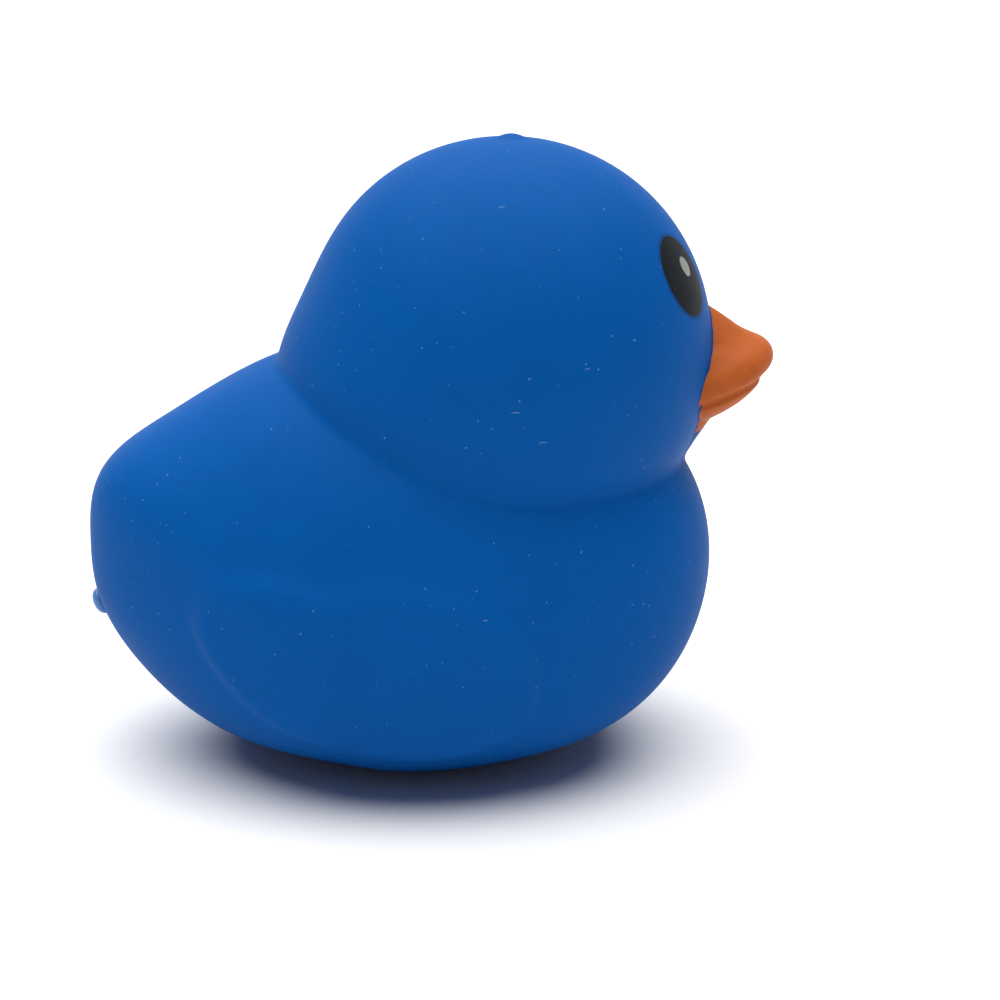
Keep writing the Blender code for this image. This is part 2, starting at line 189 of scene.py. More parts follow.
class DuckBillSizes(bpy.types.PropertyGroup):
    """Bill, placed from the head's centre."""

    root: length("Bill root", "Bill's middle ahead of the head's centre", 27.2)
    drop: length("Bill drop", "Bill's middle under the head's centre", 2.9)
    upper_reach: length("Upper reach", "Upper bill ahead of the root", 13.8)
    upper_half_width: length("Upper half width", "Half the upper bill's width", 12.0)
    upper_height: length("Upper height", "Upper bill over its root", 15.8)
    upper_rise: number("Upper rise", "Slope of the upper bill", 0.46)
    upper_lean: number("Upper lean", "Height lost forwards", 0.62)
    upper_pinch: number("Upper pinch", "Width lost upwards", 0.58)
    lip_inset: length("Lip inset", "Lip's centre line inside the upper bill's edge", -1.4)
    lip_tip_radius: length("Lip radius, tip", "Radius of the rolled lip at the tip", 2.3)
    lip_side_radius: length("Lip radius, sides", "Radius of the rolled lip at the corners", 2.0)
    lip_rise: number("Lip rise", "Slope of the lip", 0.32)
    lower_drop: length("Lower drop", "Lower bill's middle under the upper bill's", -0.1)
    lower_outset: length("Lower outset", "Lower bill's edge outside the upper one's", 2.6)
    lower_depth: length("Lower depth", "Depth of the lower bill", 7.5)
    lower_rise: number("Lower rise", "Slope of the lower bill", 0.2)
    mouth_tip_radius: length("Mouth line radius, tip", "Radius of the mouth line at the tip", 0.5)
    mouth_side_radius: length("Mouth line radius, sides", "Radius of the mouth line at the sides", 0.9)
    mouth_drop: length("Mouth line drop", "Mouth line under the lower bill's middle", 2.4)
    mouth_outset: length("Mouth line outset", "Mouth line's centre outside the lower bill", 0.5)
    mouth_rise: number("Mouth line rise", "Slope of the mouth line", 0.24)
    paint_end: length("Paint end", "Where the bill's paint ends, under the bill's middle", 6.3)
    corner_turn: number("Corner turn", "Degrees from straight ahead", 27.0)
    corner_lift: number("Corner lift", "Degrees above the head's centre", -7.0)


class DuckPrintSizes(bpy.types.PropertyGroup):
    """Printed eyes, and the plug."""

    eye_radius: length("Eye radius", "Radius of the printed eye", 6.6)
    eye_turn: number("Eye turn", "Degrees from straight ahead", 28.1)
    eye_lift: number("Eye lift", "Degrees above the head's centre", 28.2)
    glint_radius: length("Dot radius", "Radius of the dot in the eye", 1.6)
    glint_turn: number("Dot turn", "Degrees from straight ahead", 25.5)
    glint_lift: number("Dot lift", "Degrees above the head's centre", 30.0)
    plug_angle: number("Plug angle", "On the body's outline", 181.6)
    bead_radius: length("Bead radius", "Radius of the plug's bead", 2.2)
    bead_rise: length("Bead rise", "Height of the plug's bead", 1.5)
    stem_radius: length("Stem radius", "Radius of the plug's stem", 1.3)
    stem_length: length("Stem length", "Length of the plug's stem", 4.0)
    clearance: length("Clearance", "Gap between the bead and the skin", 0.3)


class DuckColours(bpy.types.PropertyGroup):
    """Colours of the rubber and of the paint."""

    rubber: colour("Rubber", "The moulded skin", (0.0012, 0.080, 0.315))
    bill_paint: colour("Bill paint", "Painted bill", (0.42, 0.098, 0.022))
    eye_paint: colour("Eye paint", "Painted eyes", (0.005, 0.007, 0.010))
    dot_paint: colour("Dot paint", "Dot in each eye", (0.27, 0.30, 0.28))
    dust: colour("Dust", "Specks and lint on the skin", (0.30, 0.42, 0.62))
    plug: colour("Plug", "Plug in the filling hole", (0.020, 0.150, 0.420))
    floor: colour("Floor", "Floor under the duck", (0.90, 0.90, 0.90))


class Outline:
    """A smooth closed curve about a centre: a periodic cubic through reaches at given degrees."""

    def __init__(self, angles, reaches):
        self.angle = np.radians(np.array(angles, float))
        self.value = np.array(reaches)
        self.step = np.diff(np.append(self.angle, self.angle[0] + 2 * math.pi))
        count = len(self.value)
        rise = (np.roll(self.value, -1) - self.value) / self.step
        terms = np.zeros((count, count))
        for i in range(count):
            before = (i - 1) % count
            after = (i + 1) % count
            terms[i, before] += 1 / self.step[before]
            terms[i, i] += 2 / self.step[before] + 2 / self.step[i]
            terms[i, after] += 1 / self.step[i]
        self.slope = np.linalg.solve(terms, 3 * (np.roll(rise / self.step, 1) + rise / self.step))

    def reach(self, angle):
        angle = (angle - self.angle[0]) % (2 * math.pi) + self.angle[0]
        i = np.clip(np.searchsorted(self.angle, angle, side="right") - 1, 0, len(self.angle) - 1)
        after = (i + 1) % len(self.angle)
        step = self.step[i]
        t = (angle - self.angle[i]) / step
        return (
            (1 + 2 * t) * (1 - t) ** 2 * self.value[i]
            + t * (1 - t) ** 2 * step * self.slope[i]
            + t * t * (3 - 2 * t) * self.value[after]
            - t * t * (1 - t) * step * self.slope[after]
        )


def gradient(function, points, near=2e-6):
    """Slopes of a function of points along each axis."""
    steps = near * np.eye(3)
    slopes = [(function(points + step) - function(points - step)) / (2 * near) for step in steps]
    return np.stack(slopes, -1)


class Solid:
    """A closed form given by a fill function, zero on its skin and negative inside."""

    def distance(self, points):
        """Distance to the skin, right to first order near it."""
        steep = np.linalg.norm(gradient(self.fill, points), axis=-1)
        return self.fill(points) / np.maximum(steep, 1e-9)

    def outward(self, points):
        slope = gradient(self.fill, points)
        return slope / np.linalg.norm(slope, axis=-1, keepdims=True)


class Cushion(Solid):
    """A side outline that swells across to a half width, which may taper aft."""

    def __init__(self, centre, outline, half_width, fullness=2.0, taper=0.0, taper_length=1.0):
        self.centre = centre
        self.outline = outline
        self.half_width = half_width
        self.fullness = fullness
        self.taper = taper
        self.taper_length = taper_length

    def width(self, x):
        aft = np.clip((self.centre[0] - x) / self.taper_length, 0.0, 1.2)
        return self.half_width * (1 - self.taper * aft**2)

    def fill(self, points):
        dx = points[..., 0] - self.centre[0]
        dz = points[..., 2] - self.centre[1]
        reach = self.outline.reach(np.arctan2(dz, dx))
        across = np.abs(points[..., 1] / self.width(points[..., 0])) ** self.fullness
        return across + (np.hypot(dx, dz) / reach) ** self.fullness - 1

    def skin(self, ball):
        power = 2 / self.fullness
        angle = np.arctan2(ball[:, 2], ball[:, 0])
        level = np.clip(np.hypot(ball[:, 0], ball[:, 2]), 0.0, 1.0) ** power
        reach = level * self.outline.reach(angle)
        x = self.centre[0] + reach * np.cos(angle)
        z = self.centre[1] + reach * np.sin(angle)
        return np.stack([x, np.sign(ball[:, 1]) * np.abs(ball[:, 1]) ** power * self.width(x), z], -1)

    def profile_point(self, degrees):
        """The outline's point at an angle, and the way out of the skin there."""
        angle = math.radians(degrees)
        reach = float(self.outline.reach(angle))
        x = self.centre[0] + reach * math.cos(angle)
        z = self.centre[1] + reach * math.sin(angle)
        point = np.array([x, 0.0, z])
        return Vector(point), Vector(self.outward(point[None])[0])

    def seen_from_centre(self, turn, lift):
        """The skin's point that lies that way from the centre, in degrees."""
        turn, lift = math.radians(turn), math.radians(lift)
        ray = np.array([math.cos(lift) * math.cos(turn), math.cos(lift) * math.sin(turn), math.sin(lift)])
        middle = np.array([self.centre[0], 0.0, self.centre[1]])
        size = self.half_width
        for _ in range(30):
            size *= (self.fill((middle + size * ray)[None])[0] + 1) ** (-1 / self.fullness)
        return middle + size * ray


class Ellipsoid(Solid):
    """An ellipsoid whose middle plane rises forwards, thinner that way and narrower upwards."""

    def __init__(self, centre, radii, rise=0.0, lean=0.0, pinch=0.0):
        self.centre = np.array(centre)
        self.radii = np.array(radii)
        self.rise = rise
        self.lean = lean
        self.pinch = pinch

    def fill(self, points):
        q = points - self.centre
        x = q[..., 0] / self.radii[0]
        z = (q[..., 2] - self.rise * q[..., 0]) / (self.radii[2] * (1 - self.lean * np.clip(x, 0.0, 1.0)))
        y = q[..., 1] / (self.radii[1] * (1 - self.pinch * np.clip(z, 0.0, 1.0)))
        return np.sqrt(x**2 + y**2 + z**2) - 1


class Bead:
    """A round bead of changing radius along a curve."""

    def __init__(self, points, radii):
        self.points = points
        self.radii = radii

    def distance(self, points):
        found = np.full(points.shape[:-1], 1.0)
        low = self.points.min(0) - 0.006
        high = self.points.max(0) + 0.006
        near = ((points > low) & (points < high)).all(-1)
        p = points[near]
        best = np.full(len(p), 1.0)
        for a, b, ra, rb in zip(self.points, self.points[1:], self.radii, self.radii[1:]):
            along = b - a
            t = np.clip((p - a) @ along / (along @ along), 0.0, 1.0)
            best = np.minimum(best, np.linalg.norm(p - a - t[:, None] * along, axis=-1) - (ra + t * (rb - ra)))
        found[near] = best
        return found


def bill_arc(root, reach, half_width, rise, sweep, tip_radius, side_radius):
    """A bead along an arc that rises forwards round the bill."""
    turns = np.radians(np.linspace(-sweep, sweep, 61))
    forward = reach * np.cos(turns)
    points = np.stack([root[0] + forward, root[1] + half_width * np.sin(turns), root[2] + rise * forward], -1)
    share = np.maximum(np.cos(turns), 0.0) ** 2
    return Bead(points, side_radius + (tip_radius - side_radius) * share)


def blend(first, second, soft):
    """Union of two distances with a fillet."""
    overlap = np.maximum(soft - np.abs(first - second), 0.0)
    return np.minimum(first, second) - overlap**2 / (4 * soft)


def carve(first, tool, soft):
    """What a tool leaves of a distance, with softened edges."""
    return -blend(-first, tool, soft)


def ease(low, high, value):
    """Zero at low, one at high, smooth between."""
    share = np.clip((value - low) / (high - low), 0.0, 1.0)
    return share**2 * (3 - 2 * share)


class Duck:
    """The whole moulded skin as one distance, worked out from the sizes."""

    def __init__(self, scene):
        size = scene.duck_body
        bill = scene.duck_bill
        self.size = size
        self.bill = bill
        self.print = scene.duck_print
        outline = Outline(BODY_ANGLES, size.body_reach)
        angle = np.radians(np.linspace(180, 360, 1801))
        reach = outline.reach(angle)
        lowest = int(np.argmin(reach * np.sin(angle)))
        centre = (
            -float(reach[lowest] * np.cos(angle[lowest])),
            -float(reach[lowest] * np.sin(angle[lowest])) - size.base_spot,
        )
        self.body = Cushion(
            centre, outline, size.body_half_width, size.body_fullness, size.tail_taper, size.tail_length
        )
        head_centre = (centre[0] + size.head_forward, centre[1] + size.head_above)
        self.head = Cushion(head_centre, Outline(HEAD_ANGLES, size.head_reach), size.head_half_width)
        self.wing = Outline(WING_ANGLES, size.wing_reach)
        root = np.array([head_centre[0] + bill.root, 0.0, head_centre[1] - bill.drop])
        self.root = root
        radii = (bill.upper_reach, bill.upper_half_width, bill.upper_height)
        self.upper = Ellipsoid(root, radii, bill.upper_rise, bill.upper_lean, bill.upper_pinch)
        self.lip = bill_arc(
            root,
            bill.upper_reach - bill.lip_inset,
            bill.upper_half_width - bill.lip_inset,
            bill.lip_rise,
            LIP_SWEEP,
            bill.lip_tip_radius,
            bill.lip_side_radius,
        )
        under = root - (0.0, 0.0, bill.lower_drop)
        reach = bill.upper_reach + bill.lower_outset
        half_width = bill.upper_half_width + bill.lower_outset
        self.lower = Ellipsoid(under, (reach, half_width, bill.lower_depth), bill.lower_rise)
        level = math.sqrt(1 - (bill.mouth_drop / bill.lower_depth) ** 2)
        self.mouth = bill_arc(
            under - (0.0, 0.0, bill.mouth_drop),
            reach * level + bill.mouth_outset,
            half_width * level + bill.mouth_outset,
            bill.mouth_rise,
            MOUTH_SWEEP,
            bill.mouth_tip_radius,
            bill.mouth_side_radius,
        )
        point, normal = self.head.profile_point(size.nub_angle)
        round_off = (size.nub_radius**2 + size.nub_rise**2) / (2 * size.nub_rise)
        self.nub = Ellipsoid(point - normal * (round_off - size.nub_rise), (round_off,) * 3)
        self.nub_top = np.array(point)

    def wing_share(self, points):
        """One on the wing, zero off it, with the sloping edge between."""
        size = self.size
        dx = points[..., 0] - self.body.centre[0] + size.wing_backward
        dz = points[..., 2] - self.body.centre[1] + size.wing_below
        angle = np.arctan2(dz, dx)
        inside = self.wing.reach(angle) - np.hypot(dx, dz)
        upper = ease(0.1, 0.8, np.sin(angle))
        rear = ease(0.0, -0.022, dx)
        edge = size.wing_edge_low + (size.wing_edge_top * (1 + rear) - size.wing_edge_low) * upper
        flank = np.clip(np.abs(points[..., 1]) / (0.25 * size.body_half_width), 0.0, 1.0)
        return ease(-0.5, 0.5, inside / edge) * flank

    def bill_distance(self, points):
        """Distance to the bill, worked out near it only."""
        found = np.full(points.shape[:-1], 1.0)
        near = (points[..., 0] > self.root[0] - 0.006) & (np.abs(points[..., 2] - self.root[2]) < 0.022)
        p = points[near]
        upper = blend(self.upper.distance(p), self.lip.distance(p), UPPER_TO_LIP)
        whole = blend(upper, self.lower.distance(p), UPPER_TO_LOWER)
        found[near] = carve(whole, self.mouth.distance(p), MOUTH_EDGE)
        return found

    def rest_distances(self, points):
        """Distances to the body with its wings and to the head, which draws in above the crease."""
        size = self.size
        body = self.body.distance(points) - size.wing_rise * self.wing_share(points)
        drawn_in = size.crease_tuck * np.exp(-np.maximum(body, 0.0) / size.crease_tuck_reach)
        drawn_in *= 1 - THROAT_TUCK_LOSS * self.throat_share(points)
        return body, self.head.distance(points) + drawn_in

    def throat_share(self, points):
        """One at the throat, zero from the flank back."""
        middle = self.body.centre[0]
        return ease(middle + THROAT_FROM, middle + THROAT_TO, points[..., 0])

    def distance(self, points):
        """Distance to the whole skin."""
        size = self.size
        body, head = self.rest_distances(points)
        change = size.neck_fillet_throat - size.neck_fillet_back
        soft = size.neck_fillet_back + change * self.throat_share(points)
        whole = blend(body, head, soft)
        whole = blend(whole, self.nub.distance(points), HEAD_TO_STUB)
        under = ease(self.root[2] - 0.005, self.root[2] - 0.010, points[..., 2])
        return blend(whole, self.bill_distance(points), HEAD_TO_BILL + HEAD_TO_BILL_UNDER * under)

    def paint_edge(self, points):
        """How far points lie inside the edge of the bill's paint, in millimetres."""
        bill = self.bill
        inside = np.minimum(*self.rest_distances(points)) - self.bill_distance(points)
        corner = self.head.seen_from_centre(bill.corner_turn, bill.corner_lift)
        mirrored = np.stack([points[:, 0], np.abs(points[:, 1]), points[:, 2]], -1)
        apart = np.linalg.norm(mirrored - corner, axis=-1)
        inside = inside / MM + CORNER_PAINT * np.exp(-((apart / CORNER_WIDTH) ** 2))
        return np.minimum(inside, (points[:, 2] - self.root[2] + bill.paint_end) / MM)


def mesh_points(mesh):
    points = np.empty(len(mesh.vertices) * 3)
    mesh.vertices.foreach_get("co", points)
    return points.reshape(-1, 3)


def ball(segments, rings):
    """A unit UV sphere with its poles across the duck."""
    shape = bmesh.new()
    bmesh.ops.create_uvsphere(shape, u_segments=segments, v_segments=rings, radius=1.0)
    bmesh.ops.rotate(shape, verts=shape.verts, matrix=Matrix.Rotation(math.pi / 2, 3, "X"))
    mesh = bpy.data.meshes.new("ball")
    shape.to_mesh(mesh)
    shape.free()
    return mesh


def add_points(shape, mesh, points):
    """Adds a mesh to the shape with its points moved."""
    mesh.vertices.foreach_set("co", np.ascontiguousarray(points, np.float32).ravel())
    shape.from_mesh(mesh)
    bpy.data.meshes.remove(mesh)


def rough_union(duck, cell):
    """The forms laid into each other and wrapped in one closed grid of quads."""
    shape = bmesh.new()
    for solid, segments in ((duck.body, 160), (duck.head, 120)):
        mesh = ball(segments, segments // 2)
        add_points(shape, mesh, solid.skin(mesh_points(mesh)))
    for solid in (duck.upper, duck.lower):
        mesh = ball(60, 30)
        points = mesh_points(mesh)
        points[:, 1] *= 1 - solid.pinch * np.clip(points[:, 2], 0.0, 1.0)
        points[:, 2] *= 1 - solid.lean * np.clip(points[:, 0], 0.0, 1.0)
        points *= solid.radii
        points[:, 2] += solid.rise * points[:, 0]
        add_points(shape, mesh, points + solid.centre)
    for point, radius in zip(duck.lip.points[::2], duck.lip.radii[::2]):
        mesh = ball(20, 10)
        add_points(shape, mesh, mesh_points(mesh) * radius + point)
    mesh = bpy.data.meshes.new("duck_skin_fine")
    shape.to_mesh(mesh)
    shape.free()
    piece = bpy.data.objects.new("duck_skin_fine", mesh)
    bpy.context.scene.collection.objects.link(piece)
    grid = piece.modifiers.new("grid", "REMESH")
    grid.mode = "VOXEL"
    grid.voxel_size = cell
    graph = bpy.context.evaluated_depsgraph_get()
    piece.data = bpy.data.meshes.new_from_object(piece.evaluated_get(graph))
    piece.modifiers.clear()
    bpy.data.meshes.remove(mesh)
    return piece


def settle(points, distance, rounds=4):
    """Moves points onto the skin that the distance describes."""
    for _ in range(rounds):
        slope = gradient(distance, points, 5e-6)
        steep = np.maximum((slope**2).sum(-1), 0.05)
        step = slope * (distance(points) / steep)[:, None]
        far = np.linalg.norm(step, axis=-1, keepdims=True)
        points = points - step * np.minimum(1.0, 0.0015 / np.maximum(far, 1e-12))
    return points


def refine(shape, wanted):
    """Splits the edges whose two ends are both wanted."""
    points = np.array([v.co for v in shape.verts])
    keep = wanted(points)
    shape.verts.index_update()
    edges = [e for e in shape.edges if keep[e.verts[0].index] and keep[e.verts[1].index]]
    bmesh.ops.subdivide_edges(shape, edges=edges, cuts=1, use_grid_fill=True)


class Value:
    """A shader socket on which Python's operators add Math nodes."""

    def __init__(self, shader, socket):
        self.shader = shader
        self.socket = socket

    def math(self, operation, *others):
        inputs = dict(enumerate((self, *others)))
        return self.shader.value("ShaderNodeMath", {"operation": operation}, inputs)

    def __add__(self, other):
        return self.math("ADD", other)

    def __radd__(self, other):
        return self.math("ADD", other)

    def __sub__(self, other):
        return self.math("SUBTRACT", other)

    def __rsub__(self, other):
        return (self * -1).math("ADD", other)

    def __mul__(self, other):
        return self.math("MULTIPLY", other)

    def __gt__(self, other):
        return self.math("GREATER_THAN", other)

    def __lt__(self, other):
        return self.math("LESS_THAN", other)

    def __abs__(self):
        return self.math("ABSOLUTE")

    def ease(self, low, high):
        """Zero below low, one above high, smooth between; low may be the larger."""
        settings = {"interpolation_type": "SMOOTHSTEP", "clamp": True}
        if low <= high:
            stops = {0: self, 1: low, 2: high, 3: 0.0, 4: 1.0}
        else:
            stops = {0: self, 1: high, 2: low, 3: 1.0, 4: 0.0}
        return self.shader.value("ShaderNodeMapRange", settings, stops)


class Shader:
    """A material's node tree, built node by node."""

    def __init__(self, owner):
        self.tree = owner.node_tree
        self.tree.nodes.clear()

    def node(self, kind, settings=None, inputs=None):
        made = self.tree.nodes.new(kind)
        for name, value in (settings or {}).items():
            setattr(made, name, value)
        for name, value in (inputs or {}).items():
            socket = made.inputs[name]
            value = getattr(value, "socket", value)
            if isinstance(value, bpy.types.NodeSocket):
                self.tree.links.new(value, socket)
            elif isinstance(value, (tuple, list)) and socket.type == "RGBA" and len(value) == 3:
                socket.default_value = (*value, 1.0)
            else:
                socket.default_value = value
        return made

    def value(self, kind, settings, inputs, output=0):
        return Value(self, self.node(kind, settings, inputs).outputs[output])

    def place(self):
        return self.node("ShaderNodeTexCoord").outputs["Object"]

    def noise(self, place, scale, detail=2.0, roughness=0.5):
        inputs = {"Vector": place, "Scale": scale, "Detail": detail, "Roughness": roughness}
        return self.value("ShaderNodeTexNoise", None, inputs)

    def scaled(self, place, factors, turn=(0.0, 0.0, 0.0)):
        inputs = {"Vector": place, "Scale": factors, "Rotation": turn}
        return self.node("ShaderNodeMapping", None, inputs).outputs[0]

    def mix(self, share, first, second):
        node = self.tree.nodes.new("ShaderNodeMix")
        node.data_type = "RGBA"
        for socket, value in ((node.inputs[0], share), (node.inputs[6], first), (node.inputs[7], second)):
            value = getattr(value, "socket", value)
            if isinstance(value, bpy.types.NodeSocket):
                self.tree.links.new(value, socket)
            else:
                socket.default_value = (*value, 1.0) if socket.type == "RGBA" else value
        return node.outputs[2]

    def toned(self, base, tone):
        """A colour made lighter or darker by a value."""
        grey = self.node("ShaderNodeCombineXYZ", None, {0: tone, 1: tone, 2: tone}).outputs[0]
        settings = {"operation": "MULTIPLY"}
        return self.node("ShaderNodeVectorMath", settings, {0: base, 1: grey}).outputs[0]

    def bump(self, height, distance, strength, under=None):
        inputs = {"Height": height, "Distance": distance, "Strength": strength}
        if under is not None:
            inputs["Normal"] = under
        return self.node("ShaderNodeBump", None, inputs).outputs[0]

    def surface(self, inputs):
        shader = self.node("ShaderNodeBsdfPrincipled", None, inputs)
        self.node("ShaderNodeOutputMaterial", None, {"Surface": shader.outputs[0]})


def new_material(name, base):
    material = bpy.data.materials.new(name)
    material.use_nodes = True
    material.diffuse_color = (*base, 1.0)
    return material


def dust_on(shader, place):
    """Share of fine specks and of short curved lint fibres that lie on the skin."""
    cells = shader.node("ShaderNodeTexVoronoi", None, {"Vector": place, "Scale": 500.0})
    pick = shader.value("ShaderNodeSeparateColor", None, {0: cells.outputs["Color"]}, 0)
    near = Value(shader, cells.outputs["Distance"])
    total = (near + pick * 0.05).ease(0.092, 0.045) * (pick < 0.9)
    waves = shader.node("ShaderNodeTexNoise", None, {"Vector": place, "Scale": 260.0, "Detail": 1.0})
    sway = {0: waves.outputs["Color"], "Scale": 0.0022}
    sway = shader.node("ShaderNodeVectorMath", {"operation": "SCALE"}, sway).outputs[0]
    bent = shader.node("ShaderNodeVectorMath", {"operation": "ADD"}, {0: place, 1: sway}).outputs[0]
    for turn in ((0.3, 0.9, 0.2), (1.1, 2.2, 0.7), (0.1, 1.4, 1.3)):
        long = shader.scaled(bent, (75.0, 620.0, 620.0), turn)
        cells = shader.node("ShaderNodeTexVoronoi", None, {"Vector": long, "Scale": 1.0})
        pick = shader.value("ShaderNodeSeparateColor", None, {0: cells.outputs["Color"]}, 1)
        near = Value(shader, cells.outputs["Distance"])
        total = total + near.ease(0.085, 0.035) * (pick > 0.93)
    return total.math("MINIMUM", 1.0)


def printed_spot(shader, duck, place, turn, lift, radius):
    """Share of a round print on both sides of the head, and of the faint dark overspray round it."""
    parts = shader.node("ShaderNodeSeparateXYZ", None, {0: place})
    across = abs(Value(shader, parts.outputs[1]))
    both = {0: parts.outputs[0], 1: across, 2: parts.outputs[2]}
    both = shader.node("ShaderNodeCombineXYZ", None, both).outputs[0]
    centre = tuple(duck.head.seen_from_centre(turn, lift))
    apart = shader.value("ShaderNodeVectorMath", {"operation": "DISTANCE"}, {0: both, 1: centre}, "Value")
    wobble = (shader.noise(place, 900.0, 2.0) - 0.5) * 0.0004
    spot = (apart + wobble).ease(radius + 0.0001, radius - 0.0001)
    return spot, apart.ease(radius + 0.0011, radius)


def skin_material(duck, colours):
    """Blue rubber with the bill's and the eyes' paint, dust on it, and a painted shade line along the bill's
    edge.
    """
    material = new_material("painted_blue_rubber", colours.rubber)
    shader = Shader(material)
    place = shader.place()
    cloud = shader.noise(place, CLOUD_SCALE, 3.0)
    mottle = shader.noise(place, MOTTLE_SCALE, 3.0, 0.6)
    grain = shader.noise(place, GRAIN_SCALE, 2.0, 0.6)
    dust = dust_on(shader, place)

    tone = 1 + (cloud - 0.5) * 0.16 + (mottle - 0.5) * 0.14 + (grain - 0.5) * 0.08
    rubber = shader.toned(tuple(colours.rubber), tone)

    edge = shader.value("ShaderNodeAttribute", {"attribute_name": "bill_edge"}, None, 2)
    fine_rag = (shader.noise(place, 700.0, 3.0, 0.7) - 0.5) * 0.9
    coarse_rag = (shader.noise(place, 230.0, 2.0) - 0.5) * 0.6
    border = edge + fine_rag + coarse_rag
    bill = border.ease(0.02, 0.22)
    # Painted shade: a thin dark line just outside the bill's paint edge stands in for the shadow in the crease
    # between head and bill
    painted_crease_shade = border.ease(-0.45, -0.1) * (1 - border.ease(0.0, 0.2))
    streak = shader.noise(shader.scaled(place, (90.0, 260.0, 260.0)), 1.0, 3.0, 0.6)
    orange_tone = 1 + (streak - 0.5) * 0.22 + (grain - 0.5) * 0.16 + (cloud - 0.5) * 0.1
    orange = shader.toned(tuple(colours.bill_paint), orange_tone)

    sizes = duck.print
    eye, mist = printed_spot(shader, duck, place, sizes.eye_turn, sizes.eye_lift, sizes.eye_radius)
    dot, _ = printed_spot(shader, duck, place, sizes.glint_turn, sizes.glint_lift, sizes.glint_radius)

    base = shader.mix(bill, rubber, orange)
    # Mixes the painted crease shade along the bill's edge into the colour
    base = shader.mix(painted_crease_shade * 0.55, base, OVERSPRAY_AND_PAINTED_SHADE)
    base = shader.mix(mist * 0.45, base, OVERSPRAY_AND_PAINTED_SHADE)
    base = shader.mix(eye, base, shader.toned(tuple(colours.eye_paint), 1 + (grain - 0.5) * 0.4))
    base = shader.mix(dot, base, shader.toned(tuple(colours.dot_paint), 1 + (mottle - 0.5) * 0.5))
    dust_seen = dust * (1 - bill * 0.7) * (1 - eye * 0.6) * 0.42
    base = shader.mix(dust_seen, base, tuple(colours.dust))

    roughness = 0.52 + (mottle - 0.5) * 0.10 + (grain - 0.5) * 0.06
    roughness = roughness + dust * 0.2 - bill * 0.05 - eye * 0.08
    wave = shader.bump(cloud, 0.0009, 0.35)
    fine = shader.bump(grain + mottle * 0.8, 0.00006, 0.5, wave)
    step = shader.bump(bill + eye + dot, 0.00005, 1.0, fine)
    shader.surface(
        {
            "Base Color": base,
            "Roughness": roughness,
            "Specular IOR Level": 0.027,
            "Normal": step,
        }
    )
    return material


def plug_material(colours):
    """Lighter and glossier rubber."""
    material = new_material("plug_rubber", colours.plug)
    shader = Shader(material)
    place = shader.place()
    cloud = shader.noise(place, 500.0, 3.0)
    base = shader.toned(tuple(colours.plug), 1 + (cloud - 0.5) * 0.3)
    shader.surface(
        {
            "Base Color": base,
            "Roughness": 0.22 + (cloud - 0.5) * 0.1,
            "Specular IOR Level": 0.5,
            "Normal": shader.bump(cloud, 0.00005, 0.4),
        }
    )
    return material


class DUCK_OT_skin(bpy.types.Operator):
    """Builds the moulded skin: body, wings, head, bill and gate stub in one"""

    bl_idname = "duck.skin"
    bl_label = "Duck skin"

    def execute(self, context):
        duck = Duck(context.scene)
        piece = rough_union(duck, SKIN_CELL)
        shape = bmesh.new()
        shape.from_mesh(piece.data)
        shape.verts.ensure_lookup_table()

        def by_bill(points, reach=NEAR_BILL):
            return (duck.bill_distance(points) < reach) & (points[:, 0] > duck.root[0] - 0.001)

        def by_edges(points):
            wing = duck.wing_share(points)
            head = duck.head.distance(points)
            crease = np.abs(duck.body.distance(points)) + np.abs(head) < NEAR_CREASE
            stub = np.linalg.norm(points - duck.nub_top, axis=-1) < NEAR_STUB
            slope = (wing > 0.02) & (wing < 0.98) & (head > 0.001)
            return by_bill(points) | crease | slope | stub

        refine(shape, by_edges)
        refine(shape, lambda points: by_bill(points, NEAR_BILL_FINEST))
        points = settle(np.array([v.co for v in shape.verts]), duck.distance)
        points[:, 2] = np.maximum(points[:, 2], 0.0)
        for vert, point in zip(shape.verts, points):
            vert.co = point
        shape.to_mesh(piece.data)
        shape.free()
        mesh = piece.data
        field = mesh.attributes.new("bill_edge", "FLOAT", "POINT")
        field.data.foreach_set("value", np.clip(duck.paint_edge(points), -5.0, 5.0).astype(np.float32))
        mesh.materials.clear()
        mesh.materials.append(skin_material(duck, context.scene.duck_colours))
        mesh.shade_smooth()
        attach(piece, "root")
        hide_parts("duck_skin")
        return {"FINISHED"}


